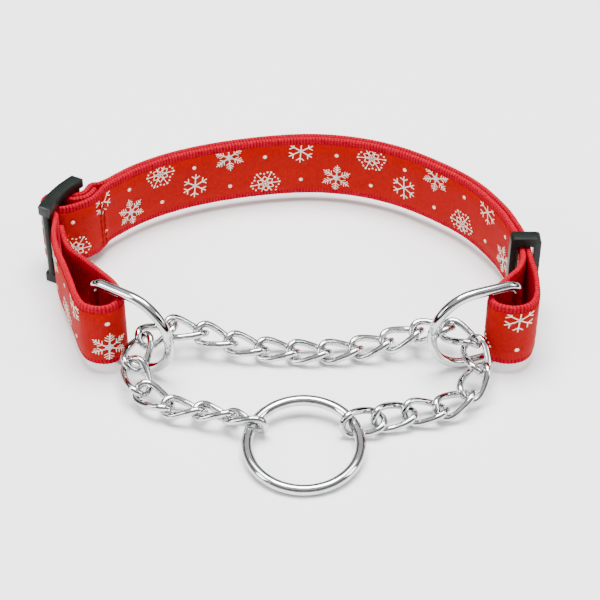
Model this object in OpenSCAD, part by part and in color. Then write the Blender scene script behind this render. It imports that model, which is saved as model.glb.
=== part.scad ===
// Half-check (martingale) dog collar: one long strap of webbing with a printed
// ribbon, a three-bar slider, a keeper loop, two D-rings, and a closed loop of
// twisted chain with a leash ring. It stands on its edge with the strap open.
// The floor is z = 0, +X is to the right and +Y is to the back of the neck.

/* [Webbing] */
// Width of the webbing
web_w = 25; // [24:0.5:25]
// Thickness of the webbing
web_t = 1.8; // [1.4:0.1:1.8]
// Width of the printed ribbon
ribbon_w = 20; // [14:1:22]
// Thickness of the ribbon
ribbon_t = 0.3; // [0.2:0.05:0.3]

/* [Rings] */
// Wire diameter of the D-rings
d_wire = 3.4; // [3:0.1:3.6]
// Depth of a D-ring, from its bar to its nose, along the wire's centre
d_depth = 30; // [29.5:0.5:30.5]
// Wire diameter of the leash ring
o_wire = 3.6; // [3.2:0.1:3.8]
// Radius of the leash ring, to the wire's centre
o_radius = 18; // [17.5:0.1:19]

/* [Chain] */
// Wire diameter of the chain
link_wire = 2.5; // [2.2:0.1:2.5]
// Half width of a link, to the wire's centre
link_half_w = 3.9; // [3.7:0.1:4]

/* [Plastic] */
// Thickness of the slider's and the keeper's rails above and below the webbing
rail_t = 3.4; // [3:0.1:3.4]
// Distance between two neighbouring bars of the slider
bar_pitch = 9; // [9:0.1:9.4]
// Diameter of a slider bar
bar_d = 3; // [2.6:0.1:3.1]

/* [Hidden] */

$fn = 48;
// Clearance above and below the webbing inside each ring and loop
edge_gap = 0.4;
lift = rail_t + edge_gap;
mid_z = lift + web_w / 2;
d_half_h = web_w / 2 + edge_gap + d_wire / 2;
// Gap between the webbing and the ribbon, and half the gap between two strap layers
skin_gap = 0.02;
layer_gap = 0.15;
// Distance from the line between two strap layers to the middle of each layer
layer_off = web_t / 2 + layer_gap;

// Moves the collar so that the origin lies under the middle of its box
placement = [4.9, 16.7, 0];

module placed() {
    translate(placement)
        children();
}

web_colour = [0.85, 0.08, 0.22];
ribbon_colour = [0.80, 0.06, 0.04];
steel_colour = [0.80, 0.80, 0.82];
plastic_colour = [0.10, 0.11, 0.11];

// ---- Plan geometry helpers ----

function unit(v) = v / norm(v);
function left_of(v) = [-v[1], v[0]];
function direction(a) = [cos(a), sin(a)];

// Direction of a line of points at point i
function tangent(p, i) = unit(p[min(i + 1, len(p) - 1)] - p[max(i - 1, 0)]);

// The line of points moved sideways, to its left when d is positive
function moved(p, d) = [for (i = [0 : len(p) - 1]) p[i] + d * left_of(tangent(p, i))];

function flipped(p) = [for (i = [len(p) - 1 : -1 : 0]) p[i]];

// One point of a Catmull-Rom curve between b and c
function curve_point(a, b, c, d, t) =
    0.5 * (2 * b + (c - a) * t + (2 * a - 5 * b + 4 * c - d) * t * t
    + (3 * b - a - 3 * c + d) * t * t * t);

// A smooth line through points p, with n steps between neighbours
function smooth_line(p, n) = concat(
    [for (i = [0 : len(p) - 2], k = [0 : n - 1])
        curve_point(p[max(i - 1, 0)], p[i], p[i + 1], p[min(i + 2, len(p) - 1)], k / n)],
    [p[len(p) - 1]]);

// ---- The strap's route in plan ----

// Slider: its centre bar, and the heading of the strap through it
slider_at = [-83, 19];
slider_heading = -118;
function slider_point(u, v) =
    slider_at + u * direction(slider_heading) - v * left_of(direction(slider_heading));
// The middle bar stands outwards of the other two by this much
slider_bow = 1.5;

// The line between the two layers, from the slider round the back to the keeper
neck_line = [[-69, 31], [-58, 41], [-43, 49.5], [-23, 56], [0, 59.5], [18, 58],
    [34, 52.5], [48, 43.5], [61, 31.5], [70, 17], [74.6, 4], [75.9, -2], [76.2, -8]];
inner_layer = moved(neck_line, -layer_off);
outer_layer = moved(neck_line, layer_off);

// The sewn tail, round the slider's middle bar and back to the inner layer
slider_wrap = [slider_point(-12.5, -5.3), slider_point(-7.5, -5.1),
    slider_point(-4.2, -2.2), slider_point(-3, 1.5), slider_point(-1.7, 4), slider_point(0.4, 4.6),
    slider_point(2.6, 3.3), slider_point(3, 0.6), slider_point(1.6, -2.2), slider_point(-3, -5.6),
    slider_point(-7.5, -7.5), slider_point(-12, -7.6)];

// Round the bar of the right D-ring
right_fold = [[74.9, -12], [72.6, -17.5], [68, -23], [64, -28], [62.4, -32.5], [64.5, -36],
    [69.8, -37.4], [75, -35.4], [77.6, -30], [78.3, -21], [77.6, -13]];

// Through the slider: behind its rear bar, over its middle bar, behind its front bar
slider_thread = [slider_point(-14, -2.8), slider_point(-9.6, -3), slider_point(-6.6, -1.4),
    slider_point(-5.2, 2), slider_point(-3.9, 5), slider_point(-1.6, 6.9), slider_point(1.4, 7),
    slider_point(4.1, 5.2), slider_point(5.3, 2), slider_point(6.3, -1.4),
    slider_point(9, -3.2)];

// Round the bar of the left D-ring, and back to the sewn end
left_fold = [[-84.2, 3], [-82.2, -6], [-78.8, -15], [-75.6, -24], [-73.2, -31], [-70, -36],
    [-64.4, -37.5], [-60.2, -35.2], [-58.7, -30.8], [-61.5, -24.5], [-67, -18], [-73, -11.5],
    [-78, -6], [-80.6, 0.5], [-81.9, 6]];

strap_points = concat(slider_wrap, inner_layer, right_fold, flipped(outer_layer),
    slider_thread, left_fold);
strap_line = smooth_line(strap_points, 4);

// A band standing on edge that follows line p between two sideways offsets
module band(p, from, to, height) {
    translate([0, 0, mid_z - height / 2])
        linear_extrude(height)
            polygon(concat(moved(p, from), flipped(moved(p, to))));
}

module webbing_strap() {
    color(web_colour) placed()
        band(strap_line, -web_t / 2, web_t / 2, web_w);
}

module printed_ribbon() {
    color(ribbon_colour) placed()
        band(strap_line, -web_t / 2 - ribbon_t - skin_gap, -web_t / 2 - skin_gap, ribbon_w);
}

// ---- Stitching ----

stitch_d = 0.5;
stitch_len = 2.4;
stitch_pitch = 3.2;
stitch_row_gap = 2;
// Distance from the middle of the webbing to the middle of a stitch
stitch_off = web_t / 2 + ribbon_t + stitch_d / 2;

// Two rows of short stitches across the webbing at plan point p, facing along face
module stitch_rows(p, face) {
    for (row = [-1, 1], k = [-3 : 3])
        translate([p[0], p[1], mid_z + stitch_pitch * k])
            rotate([0, 0, atan2(face[1], face[0])])
                translate([0, row * stitch_row_gap / 2, -stitch_len / 2])
                    cylinder(h = stitch_len, d = stitch_d, $fn = 16);
}

// The stitches lie on the ribbon of the layer that is sewn down
module slider_end_stitching() {
    face = left_of(-direction(slider_heading));
    color(ribbon_colour) placed()
        stitch_rows(slider_point(-10.8, -7.7 - stitch_off), face);
}

module d_ring_end_stitching() {
    face = unit([5, 1]);
    color(ribbon_colour) placed()
        stitch_rows([-80.6, 0.5] + (stitch_off + 0.15) * face, face);
}

// ---- Plastic hardware ----

// Radius of the slider's curve, and how far its rails reach outwards and inwards of it
rail_r = 40;
rail_out = 2.4;
rail_in = 2;
// The two outer bars stand inwards of the middle one, on the rails' curve
outer_bar_x = 0.45;
// How far a bar runs into each rail
bar_root = 0.5;

// One crescent rail of the slider, with its underside at z
module slider_rail(z) {
    rail_len = 2 * bar_pitch + bar_d;
    reach = 3 * rail_out;
    translate([0, 0, z])
        linear_extrude(rail_t)
            intersection() {
                translate([slider_bow - rail_r, 0])
                    difference() {
                        circle(r = rail_r + rail_out, $fn = 180);
                        circle(r = rail_r - rail_in, $fn = 180);
                    }
                translate([-reach, -rail_len / 2])
                    square([2 * reach, rail_len]);
            }
}

module slider() {
    rail_gap = web_w + 2 * edge_gap;
    color(plastic_colour) placed()
        translate([slider_at[0], slider_at[1], 0])
            rotate([0, 0, slider_heading - 90]) {
                slider_rail(0);
                slider_rail(rail_t + rail_gap);
                for (k = [-1 : 1])
                    translate([k == 0 ? slider_bow : outer_bar_x, k * bar_pitch, rail_t - bar_root])
                        cylinder(h = rail_gap + 2 * bar_root, d = bar_d);
            }
}

// Middle of the keeper, its clear width, its post's width and its length along the strap
keeper_at = [76.15, -5];
keeper_open = 5.9;
keeper_post = 2.2;
keeper_len = 4.4;
keeper_corner = 1.6;

module keeper_loop() {
    outer_w = keeper_open + 2 * keeper_post;
    outer_h = 2 * lift + web_w;
    color(plastic_colour) placed()
        translate([keeper_at[0], keeper_at[1] + keeper_len / 2, 0])
            rotate([90, 0, 0])
                linear_extrude(keeper_len)
                    difference() {
                        union() {
                            for (x = [-1, 1], z = [0, 1])
                                translate([x * (outer_w / 2 - keeper_corner),
                                    z == 0 ? keeper_corner : outer_h - keeper_corner])
                                    circle(r = keeper_corner);
                            translate([-outer_w / 2 + keeper_corner, 0])
                                square([outer_w - 2 * keeper_corner, outer_h]);
                            translate([-outer_w / 2, keeper_corner])
                                square([outer_w, outer_h - 2 * keeper_corner]);
                        }
                        translate([-keeper_open / 2, rail_t])
                            square([keeper_open, web_w + 2 * edge_gap]);
                    }
}

// ---- Steel rings ----

// Radius of the bends beside a D-ring's bar, and its straight length before the round nose
d_corner = 4;
d_straight = d_depth - d_corner - d_half_h;

// A D-ring whose bar stands at the origin and whose nose points along +X
module d_ring() {
    bar_half = d_half_h - d_corner;
    translate([0, 0, -bar_half])
        cylinder(h = 2 * bar_half, d = d_wire);
    for (side = [0, 1])
        mirror([0, 0, side]) {
            translate([d_corner, 0, bar_half])
                rotate([90, 0, 0])
                    rotate([0, 0, 90])
                        rotate_extrude(angle = 90)
                            translate([d_corner, 0])
                                circle(d = d_wire);
            translate([d_corner, 0, d_half_h])
                rotate([0, 90, 0])
                    cylinder(h = d_straight, d = d_wire);
        }
    translate([d_corner + d_straight, 0, 0])
        rotate([90, 0, 0])
            rotate([0, 0, -90])
                rotate_extrude(angle = 180)
                    translate([d_half_h, 0])
                        circle(d = d_wire);
}

// Where each D-ring's bar stands, and the way its nose points
left_bar = [-68, -27];
left_d_heading = -32;
right_bar = [71.5, -28.5];
right_d_heading = 200;

module d_ring_left() {
    color(steel_colour) placed()
        translate([left_bar[0], left_bar[1], mid_z])
            rotate([0, 0, left_d_heading])
                d_ring();
}

module d_ring_right() {
    color(steel_colour) placed()
        translate([right_bar[0], right_bar[1], mid_z])
            rotate([0, 0, right_d_heading])
                d_ring();
}

// ---- Chain ----

// Distance from one link to the next along the chain
link_pitch = 10.6;
// Headings of the links in plan, from the leash ring by the left D-ring,
// along the back and by the right D-ring to the leash ring again
link_headings = [155, 164, 168, 148, 110, 72, 37, 1, -11, -7, -4, -1,
    5, 9, 11, -7, -43, -80, -116, -148, 188, 200, 196];
// Heights of the interlocks: the chain rises where it goes through the D-rings
knot_z = [5, 4.6, 4.2, 4, 5.8, 8.8, 11.4, 11.2, 8.4, 5.6, 3.8, 3.2,
    3.2, 3.8, 5.6, 8.4, 11, 11, 8.6, 5.6, 4, 4.2, 4.6, 5];
first_knot = [-12.6, -68];
last = len(link_headings);
// Play between two linked wires
link_play = 0.9;
link_half_l = (link_pitch + link_wire + link_play) / 2;
link_twist = -45;

function link_step(i) =
    sqrt(link_pitch * link_pitch - pow(knot_z[i + 1] - knot_z[i], 2)) * direction(link_headings[i]);
function knot_xy(i) = i == 0 ? first_knot : knot_xy(i - 1) + link_step(i - 1);
function knot(i) = concat(knot_xy(i), [knot_z[i]]);

// The last three links at each end stand more and more on edge, to hold the leash ring
roll_step = 14;
function link_roll(i) = roll_step * (max(0, 3 - i) - max(0, i - last + 4));

// How gently the oval's round ends run into its sides
link_bend = 0.2;

// Point at angle t of a link's twisted oval, along its own X axis
function oval_point(t) =
    let (c = cos(t),
         end = c * sqrt((1 + link_bend * link_bend) / (c * c + link_bend * link_bend)),
         x = link_half_w * c + (link_half_l - link_half_w) * end,
         y = link_half_w * sin(t),
         a = link_twist * x / link_half_l)
    [x, y * cos(a), y * sin(a)];

// Angle to each side that gives the wire's direction
near_t = 4;
link_rings = 28;
link_sides = 10;

// One ring of wire section points at angle t
function wire_ring(t) =
    let (p = oval_point(t),
         along = unit(oval_point(t + near_t) - oval_point(t - near_t)),
         out = unit(p - (p * along) * along),
         up = cross(along, out))
    [for (s = [0 : link_sides - 1])
        p + link_wire / 2 * (cos(360 * s / link_sides) * out + sin(360 * s / link_sides) * up)];

module link_shape() {
    rings = [for (r = [0 : link_rings - 1]) wire_ring(360 * (r + 0.5) / link_rings)];
    polyhedron(
        points = [for (ring = rings, p = ring) p],
        faces = [for (r = [0 : link_rings - 1], s = [0 : link_sides - 1])
            let (a = r * link_sides, b = ((r + 1) % link_rings) * link_sides,
                 n = (s + 1) % link_sides)
            each [[a + s, b + s, b + n], [a + s, b + n, a + n]]]);
}

// Link number i, counted from 0, between its two interlocks
module chain_link(i) {
    middle = (knot(i) + knot(i + 1)) / 2;
    climb = asin((knot_z[i + 1] - knot_z[i]) / link_pitch);
    color(steel_colour) placed()
        translate(middle)
            rotate([0, 0, link_headings[i]])
                rotate([0, -climb, 0])
                    rotate([link_roll(i), 0, 0])
                        link_shape();
}

// The leash ring passes through the two end links, on these plan points
ring_reach = o_wire / 2 + link_play / 2;
ring_left = first_knot + ring_reach * direction(link_headings[0]);
ring_right = knot_xy(last) - ring_reach * direction(link_headings[last - 1]);
// Its centre lies in front of them, and its front edge rests on the floor
ring_span = norm(ring_right - ring_left);
ring_drop = sqrt(o_radius * o_radius - ring_span * ring_span / 4);
ring_tilt = asin((knot_z[0] - o_wire / 2) / (o_radius + ring_drop));
ring_along = unit(ring_right - ring_left);

module leash_ring() {
    color(steel_colour) placed()
        translate(concat((ring_left + ring_right) / 2, [knot_z[0]]))
            rotate([0, 0, atan2(ring_along[1], ring_along[0])])
                rotate([ring_tilt, 0, 0])
                    translate([0, -ring_drop, 0])
                        rotate_extrude($fn = 96)
                            translate([o_radius, 0])
                                circle(d = o_wire);
}

webbing_strap();
printed_ribbon();
slider_end_stitching();
d_ring_end_stitching();
slider();
keeper_loop();
d_ring_left();
d_ring_right();
leash_ring();
chain_link(0);  // chain_link_01
chain_link(1);  // chain_link_02
chain_link(2);  // chain_link_03
chain_link(3);  // chain_link_04
chain_link(4);  // chain_link_05
chain_link(5);  // chain_link_06
chain_link(6);  // chain_link_07
chain_link(7);  // chain_link_08
chain_link(8);  // chain_link_09
chain_link(9);  // chain_link_10
chain_link(10);  // chain_link_11
chain_link(11);  // chain_link_12
chain_link(12);  // chain_link_13
chain_link(13);  // chain_link_14
chain_link(14);  // chain_link_15
chain_link(15);  // chain_link_16
chain_link(16);  // chain_link_17
chain_link(17);  // chain_link_18
chain_link(18);  // chain_link_19
chain_link(19);  // chain_link_20
chain_link(20);  // chain_link_21
chain_link(21);  // chain_link_22
chain_link(22);  // chain_link_23
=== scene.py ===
import math

import bpy
import numpy as np
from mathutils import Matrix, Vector
from mathutils.bvhtree import BVHTree


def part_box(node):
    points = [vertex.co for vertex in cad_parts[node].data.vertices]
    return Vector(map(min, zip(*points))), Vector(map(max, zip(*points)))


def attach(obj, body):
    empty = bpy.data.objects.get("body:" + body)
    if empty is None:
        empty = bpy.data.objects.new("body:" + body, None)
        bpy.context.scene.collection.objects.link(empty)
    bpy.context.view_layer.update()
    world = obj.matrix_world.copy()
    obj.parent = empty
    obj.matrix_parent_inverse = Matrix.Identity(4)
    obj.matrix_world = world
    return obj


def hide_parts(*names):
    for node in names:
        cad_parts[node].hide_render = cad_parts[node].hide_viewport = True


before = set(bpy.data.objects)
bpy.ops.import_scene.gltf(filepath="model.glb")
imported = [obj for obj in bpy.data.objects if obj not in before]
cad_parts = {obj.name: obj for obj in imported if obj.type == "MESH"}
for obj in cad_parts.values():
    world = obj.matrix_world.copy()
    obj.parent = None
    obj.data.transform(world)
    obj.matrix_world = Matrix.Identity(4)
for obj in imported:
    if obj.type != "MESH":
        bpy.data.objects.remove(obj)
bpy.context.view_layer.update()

MM = 0.001

# The strap's ring is drawn about its own middle; this brings the whole collar's box over the origin
shift = np.array([4.9, 16.7])

# ---------------------------------------------------------------- camera, floor and light

aim = Vector((*shift, 0)) * MM
camera_distance = 600 * MM
camera_elevation = math.radians(40)
camera = bpy.data.objects.new("camera", bpy.data.cameras.new("camera"))
camera.data.lens = 102.5
camera.data.sensor_width = 36
camera.location = aim + camera_distance * Vector(
    (0, -math.cos(camera_elevation), math.sin(camera_elevation)))
camera.rotation_euler = (aim - camera.location).to_track_quat("-Z", "Y").to_euler()
bpy.context.collection.objects.link(camera)
bpy.context.scene.camera = camera


def new_material(name):
    """A material with a Principled shader: (material, shader, nodes, links)."""
    material = bpy.data.materials.new(name)
    material.use_nodes = True
    nodes = material.node_tree.nodes
    return material, nodes["Principled BSDF"], nodes, material.node_tree.links


def set_sockets(shader, **values):
    """Sets the shader's own sockets. An underscore in a name stands for a space."""
    for name, value in values.items():
        shader.inputs[name.replace("_", " ")].default_value = value


def colour_ramp(nodes, links, factor, stops):
    """A colour ramp over factor, from (place, (red, green, blue)) stops."""
    ramp = nodes.new("ShaderNodeValToRGB")
    elements = ramp.color_ramp.elements
    elements[0].position, elements[0].color = stops[0][0], (*stops[0][1], 1)
    elements[1].position, elements[1].color = stops[-1][0], (*stops[-1][1], 1)
    for place, colour in stops[1:-1]:
        elements.new(place).color = (*colour, 1)
    links.new(factor, ramp.inputs[0])
    return ramp.outputs[0]


def make_floor():
    """A plain pale floor, which isn't part of the collar."""
    half = 3.0
    floor_grey = 0.93
    mesh = bpy.data.meshes.new("floor")
    mesh.from_pydata([(-half, -half, 0), (half, -half, 0), (half, half, 0), (-half, half, 0)],
                     [], [(0, 1, 2, 3)])
    floor = bpy.data.objects.new("floor", mesh)
    bpy.context.collection.objects.link(floor)
    material, shader = new_material("floor")[:2]
    set_sockets(shader, Base_Color=(floor_grey, floor_grey, floor_grey, 1), Roughness=0.9)
    mesh.materials.append(material)


def add_light(name, place, size, power):
    """A rectangular lamp at place that faces the object, with its size in metres and watts."""
    data = bpy.data.lights.new(name, "AREA")
    data.shape = "RECTANGLE"
    data.size, data.size_y = size
    data.energy = power
    light = bpy.data.objects.new(name, data)
    light.location = place
    light.rotation_euler = (-Vector(place)).to_track_quat("-Z", "Y").to_euler()
    bpy.context.collection.objects.link(light)


# Name, place, size and power of each lamp
SOFTBOXES = [("softbox_top", (0, 0.15, 1.3), (0.95, 0.7), 56),
             ("softbox_left", (-1.15, -0.45, 0.75), (0.35, 0.7), 9),
             ("softbox_right", (1.15, -0.2, 0.8), (0.35, 0.7), 8)]
# The room's grey from the horizon (0) to straight up (1): its dark bands streak the chrome
ROOM_GREYS = [(0.0, 0.02), (0.19, 0.01), (0.26, 0.8), (0.38, 0.8), (0.42, 0.005), (0.60, 0.005),
              (0.66, 0.9), (0.9, 0.95)]
room_strength = 0.9


def make_light():
    """The lamps and the room that the metal reflects."""
    for softbox in SOFTBOXES:
        add_light(*softbox)
    world = bpy.data.worlds.new("studio")
    bpy.context.scene.world = world
    world.use_nodes = True
    nodes, links = world.node_tree.nodes, world.node_tree.links
    coordinates = nodes.new("ShaderNodeTexCoord")
    split = nodes.new("ShaderNodeSeparateXYZ")
    links.new(coordinates.outputs["Generated"], split.inputs[0])
    greys = colour_ramp(nodes, links, split.outputs["Z"],
                        [(place, (grey, grey, grey)) for place, grey in ROOM_GREYS])
    links.new(greys, nodes["Background"].inputs["Color"])
    nodes["Background"].inputs["Strength"].default_value = room_strength


make_floor()
make_light()

# ---------------------------------------------------------------- the strap's route, in mm

# Widths and thicknesses, the gap between webbing and ribbon, and that between the strap's layers
web_w, web_t = 25.0, 1.8
ribbon_w, ribbon_t = 20.0, 0.3
skin_gap, layer_gap = 0.02, 0.15
mid_z = 16.3
layer_off = web_t / 2 + layer_gap
route_steps = 12
slider_at = np.array([-83.0, 19.0])
slider_heading = math.radians(-118)
slider_forward = np.array([math.cos(slider_heading), math.sin(slider_heading)])
slider_left = np.array([-slider_forward[1], slider_forward[0]])


def slider_points(*points):
    """Plan points given along and beside the slider."""
    return [slider_at + u * slider_forward - v * slider_left for u, v in points]


def tangents(points):
    """Unit directions along the line of points."""
    before = np.vstack([points[:1], points[:-1]])
    after = np.vstack([points[1:], points[-1:]])
    t = after - before
    return t / np.linalg.norm(t, axis=1)[:, None]


def left_normals(points):
    """Unit directions to the left of the line of points."""
    t = tangents(points)
    return np.column_stack([-t[:, 1], t[:, 0]])


def moved(points, offset):
    """The line of points, moved to its left by offset."""
    points = np.array(points, float)
    return points + offset * left_normals(points)


def smooth_line(points, steps):
    """A Catmull-Rom line through the points, with that many steps between neighbours."""
    p = np.array(points, float)
    out = []
    for i in range(len(p) - 1):
        a, b, c, d = p[max(i - 1, 0)], p[i], p[i + 1], p[min(i + 2, len(p) - 1)]
        for k in range(steps):
            t = k / steps
            out.append(0.5 * (2 * b + (c - a) * t + (2 * a - 5 * b + 4 * c - d) * t ** 2
                              + (3 * b - a - 3 * c + d) * t ** 3))
    return np.array(out + [p[-1]])


neck_line = [(-69, 31), (-58, 41), (-43, 49.5), (-23, 56), (0, 59.5), (18, 58), (34, 52.5),
             (48, 43.5), (61, 31.5), (70, 17), (74.6, 4), (75.9, -2), (76.2, -8)]
slider_wrap = slider_points(
    (-12.5, -5.3), (-7.5, -5.1), (-4.2, -2.2), (-3, 1.5), (-1.7, 4), (0.4, 4.6), (2.6, 3.3),
    (3, 0.6), (1.6, -2.2), (-3, -5.6), (-7.5, -7.5), (-12, -7.6))
right_fold = [(74.9, -12), (72.6, -17.5), (68, -23), (64, -28), (62.4, -32.5), (64.5, -36),
              (69.8, -37.4), (75, -35.4), (77.6, -30), (78.3, -21), (77.6, -13)]
slider_thread = slider_points(
    (-14, -2.8), (-9.6, -3), (-6.6, -1.4), (-5.2, 2), (-3.9, 5), (-1.6, 6.9), (1.4, 7),
    (4.1, 5.2), (5.3, 2), (6.3, -1.4), (9, -3.2))
left_fold = [(-84.2, 3), (-82.2, -6), (-78.8, -15), (-75.6, -24), (-73.2, -31), (-70, -36),
             (-64.4, -37.5), (-60.2, -35.2), (-58.7, -30.8), (-61.5, -24.5), (-67, -18),
             (-73, -11.5), (-78, -6), (-80.6, 0.5), (-81.9, 6)]
inner_layer = moved(neck_line, -layer_off)
outer_layer = moved(neck_line, layer_off)[::-1]
route = np.vstack([slider_wrap, inner_layer, right_fold, outer_layer, slider_thread, left_fold])
fine_line = smooth_line(route, route_steps) + shift
fine_normals = left_normals(fine_line)
fine_s = np.concatenate([[0], np.cumsum(np.linalg.norm(np.diff(fine_line, axis=0), axis=1))])
strap_length = float(fine_s[-1])


def route_arc(index):
    """Distance along the strap of route point number index."""
    return float(fine_s[route_steps * index])


def on_strap(s, offset):
    """Plan points at distances s along the strap and sideways by offset, in mm."""
    middle = np.column_stack([np.interp(s, fine_s, fine_line[:, k]) for k in (0, 1)])
    side = np.column_stack([np.interp(s, fine_s, fine_normals[:, k]) for k in (0, 1)])
    side /= np.linalg.norm(side, axis=1)[:, None]
    return middle + np.asarray(offset).reshape(-1, 1) * side


# ---------------------------------------------------------------- mesh helpers


def mesh_object(name, vertices, faces, material, body):
    """A smooth mesh from vertices in mm, riding on a body and finished like a material slot."""
    mesh = bpy.data.meshes.new(name)
    mesh.from_pydata([tuple(v) for v in np.asarray(vertices) * MM], [], faces)
    mesh.validate()
    mesh.polygons.foreach_set("use_smooth", [True] * len(mesh.polygons))
    obj = bpy.data.objects.new(name, mesh)
    bpy.context.collection.objects.link(obj)
    mesh.materials.append(material)
    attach(obj, body)
    return obj


def band_object(name, stations, profile, material):
    """A closed band along the strap. profile(s) gives the section at distance s as (offset,
    height) pairs. The point attribute "cloth" holds each point's distance along the band, its
    height and its offset, in mm."""
    rows, cloth = [], []
    for s in stations:
        section = np.array(profile(s))
        plan = on_strap(np.full(len(section), s), section[:, 0])
        rows.append(np.column_stack([plan, mid_z + section[:, 1]]))
        cloth.append(np.column_stack([np.full(len(section), s), section[:, 1], section[:, 0]]))
    count = len(rows[0])
    faces = [[r * count + c, r * count + (c + 1) % count,
              (r + 1) * count + (c + 1) % count, (r + 1) * count + c]
             for r in range(len(rows) - 1) for c in range(count)]
    end = (len(rows) - 1) * count
    faces += [list(range(count))[::-1], [end + c for c in range(count)]]
    obj = mesh_object(name, np.vstack(rows), faces, material, "strap")
    attribute = obj.data.attributes.new("cloth", "FLOAT_VECTOR", "POINT")
    attribute.data.foreach_set("vector", np.vstack(cloth).ravel())
    return obj


# ---------------------------------------------------------------- materials


def cloth_axes(nodes, links):
    """The "cloth" attribute, as a vector and as distance along and height across the band."""
    attribute = nodes.new("ShaderNodeAttribute")
    attribute.attribute_name = "cloth"
    split = nodes.new("ShaderNodeSeparateXYZ")
    links.new(attribute.outputs["Vector"], split.inputs[0])
    return attribute.outputs["Vector"], split.outputs["X"], split.outputs["Y"]


def math_node(nodes, links, operation, a, b=None):
    """A Math node's output. Each input is a number or another node's output."""
    node = nodes.new("ShaderNodeMath")
    node.operation = operation
    for socket, value in zip(node.inputs, (a, b)):
        if value is None:
            continue
        if isinstance(value, (int, float)):
            socket.default_value = value
        else:
            links.new(value, socket)
    return node.outputs[0]


def wave(nodes, links, along, pitch):
    """A sine of period pitch along one axis, from -1 to 1."""
    angle = math_node(nodes, links, "MULTIPLY", along, 2 * math.pi / pitch)
    return math_node(nodes, links, "SINE", angle)


def noise(nodes, links, vector, scale, detail):
    """A noise texture's output, from 0 to 1."""
    node = nodes.new("ShaderNodeTexNoise")
    node.inputs["Scale"].default_value = scale
    node.inputs["Detail"].default_value = detail
    links.new(vector, node.inputs["Vector"])
    return node.outputs["Fac"]


def bump(nodes, links, shader, height, distance, strength=1.0):
    """Makes the height a bump on the shader's surface, distance metres high."""
    node = nodes.new("ShaderNodeBump")
    node.inputs["Distance"].default_value = distance
    node.inputs["Strength"].default_value = strength
    links.new(height, node.inputs["Height"])
    links.new(node.outputs[0], shader.inputs["Normal"])


rib_pitch, yarn_pitch = 1.15, 0.62
ribbon_line_pitch = 0.55
# Shares of the yarns beside the ribs, the weave beside the fuzz, and the lines beside the fuzz
yarn_share, weave_share, line_share = 0.22, 0.22, 0.12
# Noise scales, per mm on cloth and per metre on ink, metal and plastic
webbing_fuzz, ribbon_fuzz = 1.6, 0.9
ink_grain, chrome_wear, chrome_ripple = 2600, 900, 220
plastic_grain, plastic_gloss = 2200, 400
webbing_bump, ribbon_bump = 0.14 * MM, 0.05 * MM
ink_bump, chrome_bump, plastic_bump = 0.02 * MM, 0.02 * MM, 0.03 * MM


def webbing_material():
    """Coarse webbing: crosswise ribs, split by fine lengthwise yarns."""
    material, shader, nodes, links = new_material("webbing")
    vector, along, across = cloth_axes(nodes, links)
    rib = wave(nodes, links, along, rib_pitch)
    yarn = wave(nodes, links, across, yarn_pitch)
    weave = math_node(nodes, links, "MULTIPLY_ADD", yarn, yarn_share)
    links.new(rib, weave.node.inputs[2])
    fuzz = noise(nodes, links, vector, webbing_fuzz, 6.0)
    mixed = math_node(nodes, links, "MULTIPLY_ADD", weave, weave_share)
    links.new(fuzz, mixed.node.inputs[2])
    colour = colour_ramp(nodes, links, mixed, [
        (0.15, (0.15, 0.0, 0.004)), (0.5, (0.34, 0.0, 0.012)), (0.9, (0.46, 0.0, 0.021))])
    links.new(colour, shader.inputs["Base Color"])
    set_sockets(shader, Roughness=0.85, Sheen_Weight=0.06, Sheen_Roughness=0.4,
                Sheen_Tint=(1.0, 0.03, 0.08, 1), Specular_IOR_Level=0.03)
    bump(nodes, links, shader, mixed, webbing_bump)
    return material


def ribbon_material():
    """Satin ribbon with fine crosswise ribs and soft streaks."""
    material, shader, nodes, links = new_material("ribbon")
    vector, along = cloth_axes(nodes, links)[:2]
    rib = wave(nodes, links, along, ribbon_line_pitch)
    fuzz = noise(nodes, links, vector, ribbon_fuzz, 5.0)
    mixed = math_node(nodes, links, "MULTIPLY_ADD", rib, line_share)
    links.new(fuzz, mixed.node.inputs[2])
    colour = colour_ramp(nodes, links, mixed, [
        (0.2, (0.22, 0.0, 0.0)), (0.5, (0.31, 0.0, 0.0)), (0.85, (0.39, 0.0, 0.0))])
    links.new(colour, shader.inputs["Base Color"])
    set_sockets(shader, Roughness=0.6, Sheen_Weight=0.03, Sheen_Tint=(1.0, 0.03, 0.03, 1),
                Specular_IOR_Level=0.05, Anisotropic=0.3)
    bump(nodes, links, shader, mixed, ribbon_bump)
    return material


def print_material(name, low, high, roughness):
    """Thick screen ink with a fine grain, from its low colour to its high one."""
    material, shader, nodes, links = new_material(name)
    coordinates = nodes.new("ShaderNodeTexCoord")
    grain = noise(nodes, links, coordinates.outputs["Object"], ink_grain, 4.0)
    links.new(colour_ramp(nodes, links, grain, [(0.35, low), (0.65, high)]),
              shader.inputs["Base Color"])
    set_sockets(shader, Roughness=roughness)
    bump(nodes, links, shader, grain, ink_bump)
    return material


def chrome_material():
    """Polished plate with faint ripples and uneven polish."""
    material, shader, nodes, links = new_material("chrome")
    coordinates = nodes.new("ShaderNodeTexCoord")
    place = coordinates.outputs["Object"]
    wear = noise(nodes, links, place, chrome_wear, 5.0)
    rough = nodes.new("ShaderNodeMapRange")
    rough.inputs["To Min"].default_value = 0.04
    rough.inputs["To Max"].default_value = 0.12
    links.new(wear, rough.inputs["Value"])
    links.new(rough.outputs[0], shader.inputs["Roughness"])
    tone = noise(nodes, links, place, chrome_ripple, 2.0)
    links.new(colour_ramp(nodes, links, tone, [(0.3, (0.45, 0.46, 0.46)),
                                               (0.7, (0.62, 0.63, 0.63))]),
              shader.inputs["Base Color"])
    set_sockets(shader, Metallic=1.0)
    bump(nodes, links, shader, tone, chrome_bump, 0.2)
    return material


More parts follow.
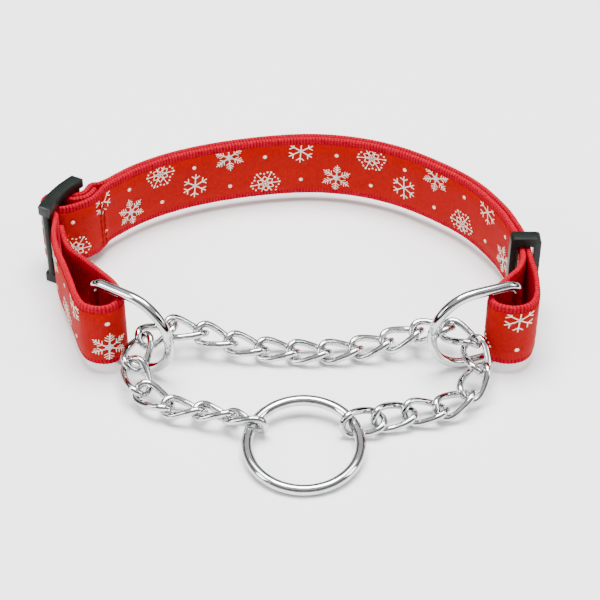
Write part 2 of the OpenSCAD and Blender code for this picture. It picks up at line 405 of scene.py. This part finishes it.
def plastic_material():
    """Near-black moulded plastic with a fine grain."""
    material, shader, nodes, links = new_material("plastic")
    coordinates = nodes.new("ShaderNodeTexCoord")
    place = coordinates.outputs["Object"]
    grain = noise(nodes, links, place, plastic_grain, 4.0)
    links.new(colour_ramp(nodes, links, grain, [(0.3, (0.0015, 0.003, 0.0025)),
                                                (0.7, (0.005, 0.009, 0.0075))]),
              shader.inputs["Base Color"])
    rough = nodes.new("ShaderNodeMapRange")
    rough.inputs["To Min"].default_value = 0.30
    rough.inputs["To Max"].default_value = 0.50
    set_sockets(shader, Specular_IOR_Level=0.22)
    links.new(noise(nodes, links, place, plastic_gloss, 3.0), rough.inputs["Value"])
    links.new(rough.outputs[0], shader.inputs["Roughness"])
    bump(nodes, links, shader, grain, plastic_bump)
    return material


webbing_look = webbing_material()
ribbon_look = ribbon_material()
chrome_look = chrome_material()
plastic_look = plastic_material()
cream_ink = print_material("cream_ink", (0.82, 0.68, 0.53), (0.95, 0.83, 0.70), 0.5)
silver_ink = print_material("silver_ink", (0.42, 0.41, 0.42), (0.66, 0.65, 0.66), 0.32)

# ---------------------------------------------------------------- webbing and ribbon

# How far the webbing draws in between its ribs, in thickness and in width
rib_depth, rib_notch = 0.05, 0.14
web_edge_r = 0.75
# The ribbon's own ribs
ribbon_rib_pitch, ribbon_rib_depth = 1.1, 0.08
ribbon_ease = 0.12
ribbon_step = 0.37


def webbing_section(s):
    """The webbing's section at distance s: a flat oval whose edges rise and fall with the ribs."""
    rib = 0.5 + 0.5 * math.cos(2 * math.pi * s / rib_pitch)
    half_t = web_t / 2 - rib_depth * (1 - rib)
    half_w = web_w / 2 - rib_notch * (1 - rib)
    edge = web_edge_r
    half = [(half_t, h) for h in np.linspace(-half_w + edge, half_w - edge, 9)]
    turn = [(half_t * math.cos(a), half_w - edge + edge * math.sin(a))
            for a in np.radians([30, 60, 90, 120, 150])]
    other = [(-x, h) for x, h in half[::-1]]
    back = [(x, -h) for x, h in turn[::-1]]
    return half + turn + other + back


def ribbon_section(s):
    """The ribbon's section at distance s: a thin strip on the webbing's printed side."""
    inner = -web_t / 2 - skin_gap
    rib = ribbon_rib_depth / 2 * (1 + math.cos(2 * math.pi * s / ribbon_rib_pitch))
    outer = inner - ribbon_t + rib
    half_w = ribbon_w / 2 - rib
    reach = half_w - ribbon_ease
    inside = [(inner, h) for h in np.linspace(-reach, reach, 5)]
    outside = [(outer, h) for h in np.linspace(reach, -reach, 5)]
    return inside + [((inner + outer) / 2, half_w)] + outside + [((inner + outer) / 2, -half_w)]


webbing = band_object("webbing", np.arange(0, strap_length, rib_pitch / 4), webbing_section,
                      webbing_look)
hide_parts("webbing_strap")
ribbon = band_object("ribbon", np.arange(0, strap_length, ribbon_step), ribbon_section,
                     ribbon_look)
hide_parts("printed_ribbon")

# ---------------------------------------------------------------- the ribbon's print

# The ink's layer, how far it stands off the ribbon, and the bare rim along the ribbon's edges
ink_t, ink_lift, bare_rim = 0.04, 0.03, 0.25
print_off = -web_t / 2 - skin_gap - ribbon_t - ink_lift
print_edge = ribbon_w / 2 - bare_rim
ink_cell = 0.7


def rotated(points, turns):
    """The points turned about the flake's middle by that many sixths of a circle."""
    a = turns * math.pi / 3
    c, s = math.cos(a), math.sin(a)
    return [(c * x - s * y, s * x + c * y) for x, y in points]


def stick(a, b, width):
    """A straight bar from a to b, as a chain of small four-cornered cells."""
    a, b = np.array(a, float), np.array(b, float)
    length = np.linalg.norm(b - a)
    side = np.array([-(b - a)[1], (b - a)[0]]) / length * width / 2
    steps = max(1, math.ceil(length / ink_cell))
    ends = [a + (b - a) * k / steps for k in range(steps + 1)]
    return [[p - side, q - side, q + side, p + side] for p, q in zip(ends, ends[1:])]


def disc(centre, radius, count=12):
    """A round dot, as a fan of count triangles."""
    x, y = centre
    ring = [(x + radius * math.cos(2 * math.pi * k / count),
             y + radius * math.sin(2 * math.pi * k / count)) for k in range(count)]
    return [[(x, y), ring[k], ring[(k + 1) % count]] for k in range(count)]


def six_fold(cells_of_arm):
    """The cells of one arm, repeated on all six."""
    return [rotated(cell, turns) for turns in range(6) for cell in cells_of_arm]


def barbs(places, length, width):
    """Pairs of side bars on the arm that points along the second axis. places holds each pair's
    distance from the middle and its share of the length."""
    spread, rise = 0.87, 0.6
    cells = []
    for place, scale in places:
        for side in (-1, 1):
            tip = (side * length * scale * spread, place + length * scale * rise)
            cells += stick((0, place), tip, width)
    return cells


def stick_flake():
    """Six plain arms that fork near their tips, and a small silver hub."""
    arm = stick((0, 0.6), (0, 5.0), 0.38) + barbs([(3.1, 1.0)], 1.75, 0.36)
    return six_fold(arm), disc((0, 0), 0.7)


def fern_flake():
    """Six leafy arms with three pairs of side bars each, round a silver star."""
    arm = stick((0, 1.2), (0, 5.9), 0.31)
    arm += barbs([(4.4, 0.6), (3.4, 0.95), (2.3, 1.0)], 1.65, 0.27)
    hub = six_fold(stick((0, 0.3), (0, 1.9), 0.5)) + disc((0, 0), 1.15)
    return six_fold(arm), hub


def diamond_flake():
    """Open diamonds round the hub, thin arms between them, and dots in a wide ring."""
    tip, corner = (0, 3.4), (1.05, 2.1)
    other = (-corner[0], corner[1])
    arm = stick((0, 0.8), corner, 0.28) + stick(corner, tip, 0.28)
    arm += stick(tip, other, 0.28) + stick(other, (0, 0.8), 0.28)
    arm += disc((0, 4.5), 0.36, 8) + disc((1.35, 4.9), 0.34, 8) + disc((-1.35, 4.9), 0.34, 8)
    spoke = rotated([(0, 2.0), (0, 5.4)], 0.5)
    arm += stick(spoke[0], spoke[1], 0.28) + disc(spoke[1], 0.42, 8)
    return six_fold(arm), disc((0, 0), 0.5)


FLAKES = [stick_flake(), fern_flake(), diamond_flake()]
# Heights of each kind of flake in the upper and in the lower row
FLAKE_ROWS = [(7.2, -2.4), (7.3, -4.4), (6.8, -6.4)]
dot_row = 5.6
dot_radius = 0.72


def clipped(cell):
    """A cell cut off at the ribbon's printed edge, or None if nothing of it is left."""
    points = list(cell)
    for sign in (1, -1):
        kept = []
        for k in range(len(points)):
            (x0, y0), (x1, y1) = points[k - 1], points[k]
            inside0, inside1 = sign * y0 <= print_edge, sign * y1 <= print_edge
            if inside0 != inside1:
                t = (sign * print_edge - y0) / (y1 - y0)
                kept.append((x0 + t * (x1 - x0), sign * print_edge))
            if inside1:
                kept.append((x1, y1))
        points = kept
        if len(points) < 3:
            return None
    return points


def flake_cells(cells, s, h, turn, run):
    """The cells of one flake at distance s and height h, without what lies outside its run."""
    c, d = math.cos(turn), math.sin(turn)
    for cell in cells:
        placed = [(s + c * x - d * y, h + d * x + c * y) for x, y in cell]
        cut = clipped(placed)
        if cut and all(run[0] < x < run[1] for x, _ in cut):
            yield cut


slider_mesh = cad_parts["slider"].data
slider_surface = BVHTree.FromPolygons([v.co for v in slider_mesh.vertices],
                                      [p.vertices for p in slider_mesh.polygons])
# The slider rubs the ink off where it bears on the ribbon
rubbed_reach = 0.7


def printed(cell):
    """True if the slider can't reach this cell of ink."""
    for s, h in cell:
        x, y = on_strap(np.array([s]), np.array([print_off]))[0]
        nearest = slider_surface.find_nearest(Vector((x, y, mid_z + h)) * MM)
        if nearest[3] < rubbed_reach * MM:
            return False
    return True


def print_object(name, cells, material):
    """The cells of ink as one thin piece on the ribbon."""
    vertices, faces = [], []
    for cell in filter(printed, cells):
        faces.append(list(range(len(vertices), len(vertices) + len(cell))))
        vertices += cell
    flat = np.array(vertices)
    plan = on_strap(flat[:, 0], np.full(len(flat), print_off))
    obj = mesh_object(name, np.column_stack([plan, mid_z + flat[:, 1]]), faces,
                      material, "strap")
    weld = obj.modifiers.new("weld", "WELD")
    weld.merge_threshold = 0.001 * MM
    solid = obj.modifiers.new("thickness", "SOLIDIFY")
    solid.thickness = ink_t * MM
    solid.offset = 0
    return obj


flake_pitch = 13.45
# How far the flakes turn either way, and how that changes from one to the next
flake_turn, turn_step = 0.12, 1.7
right_fold_start = route_arc(len(slider_wrap) + len(neck_line) - 1)
right_fold_end = route_arc(len(slider_wrap) + len(neck_line) + len(right_fold))
left_fold_start = route_arc(len(route) - len(left_fold))
neck_flake = route_arc(len(slider_wrap)) - 4.7
# Each stretch of the print: from and to along the strap, where one of its flakes lies, and that
# flake's number in the pattern. Even numbers lie in the upper row.
PRINT_RUNS = [(0, right_fold_start, neck_flake, 0),
              (right_fold_start, right_fold_end, right_fold_start + 39.7, 6),
              (right_fold_end, left_fold_start, neck_flake, 0),
              (left_fold_start, strap_length, left_fold_start + 49, 7)]


def build_print():
    """Both inks of the print: snowflakes in two staggered rows, with a dot across from each."""
    cream, silver = [], []
    for run in PRINT_RUNS:
        start, end, place, number = run
        low = number + math.floor((start - place) / flake_pitch)
        high = number + math.ceil((end - place) / flake_pitch)
        for i in range(low, high + 1):
            s = place + flake_pitch * (i - number)
            lower = i % 2
            body, hub = FLAKES[i % 3]
            height = FLAKE_ROWS[i % 3][lower]
            turn = flake_turn * math.sin(turn_step * i)
            cream += flake_cells(body, s, height, turn, run)
            silver += flake_cells(hub, s, height, turn, run)
            dot_height = dot_row if lower else -dot_row
            cream += flake_cells(disc((0, 0), dot_radius), s, dot_height, 0, run)
    return (print_object("ribbon_print", cream, cream_ink),
            print_object("ribbon_print_silver", silver, silver_ink))


print_pieces = build_print()

# ---------------------------------------------------------------- hardware

edge_round = 0.55 * MM
weld_reach = 0.004 * MM
sharp_angle = math.radians(40)


def dress(node, material, bevel=None, subdivide=0):
    """Gives a CAD node its material and softens its edges or facets."""
    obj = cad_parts[node]
    for slot in obj.material_slots:
        slot.material = material
    obj.data.polygons.foreach_set("use_smooth", [True] * len(obj.data.polygons))
    weld = obj.modifiers.new("weld", "WELD")
    weld.merge_threshold = weld_reach
    if bevel:
        edge = obj.modifiers.new("bevel", "BEVEL")
        edge.width = bevel
        edge.segments = 3
        edge.limit_method = "ANGLE"
        edge.angle_limit = sharp_angle
        edge.harden_normals = True
    if subdivide:
        smooth = obj.modifiers.new("smooth", "SUBSURF")
        smooth.levels = smooth.render_levels = subdivide


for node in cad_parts:
    if node.startswith("chain_link"):
        dress(node, chrome_look, subdivide=1)
    elif node in ("d_ring_left", "d_ring_right", "leash_ring"):
        dress(node, chrome_look)
    elif node in ("slider", "keeper_loop"):
        dress(node, plastic_look, bevel=edge_round)
    elif node in ("slider_end_stitching", "d_ring_end_stitching"):
        dress(node, ribbon_look)

# Where the leash ring's butt weld lies round it, its length and height, and how far it starts
# inside the wire's skin
ring_wire = 3.6
weld_at = math.radians(236)
bead_length, bead_height, bead_root = 0.55, 0.12, 0.04


def ring_seam():
    """The leash ring's butt weld: a low bead round the wire, on the front left."""
    low, high = (np.array(corner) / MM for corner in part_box("leash_ring"))
    centre = (low + high) / 2
    radius = (high[0] - low[0] - ring_wire) / 2
    tilt = math.atan2(high[2] - low[2] - ring_wire, high[1] - low[1] - ring_wire)
    sides, steps = 28, 5
    middle = np.array([math.cos(weld_at), math.sin(weld_at), 0]) * radius
    along = np.array([-math.sin(weld_at), math.cos(weld_at), 0])
    out = middle / radius
    up = np.array([0, 0, 1.0])
    lean = np.array([[1, 0, 0], [0, math.cos(tilt), -math.sin(tilt)],
                     [0, math.sin(tilt), math.cos(tilt)]])
    vertices, faces = [], []
    for k in range(steps):
        t = k / (steps - 1)
        r = ring_wire / 2 - bead_root + bead_height * math.sin(math.pi * t)
        for a in np.linspace(0, 2 * math.pi, sides, endpoint=False):
            spot = middle + along * bead_length * (t - 0.5)
            point = spot + r * (math.cos(a) * out + math.sin(a) * up)
            vertices.append(centre + lean @ point)
    for k in range(steps - 1):
        for a in range(sides):
            b = (a + 1) % sides
            faces.append([k * sides + a, k * sides + b, (k + 1) * sides + b, (k + 1) * sides + a])
    faces.append(list(range(sides))[::-1])
    faces.append([(steps - 1) * sides + a for a in range(sides)])
    mesh_object("leash_ring_weld", vertices, faces, chrome_look, "leash_ring")


ring_seam()
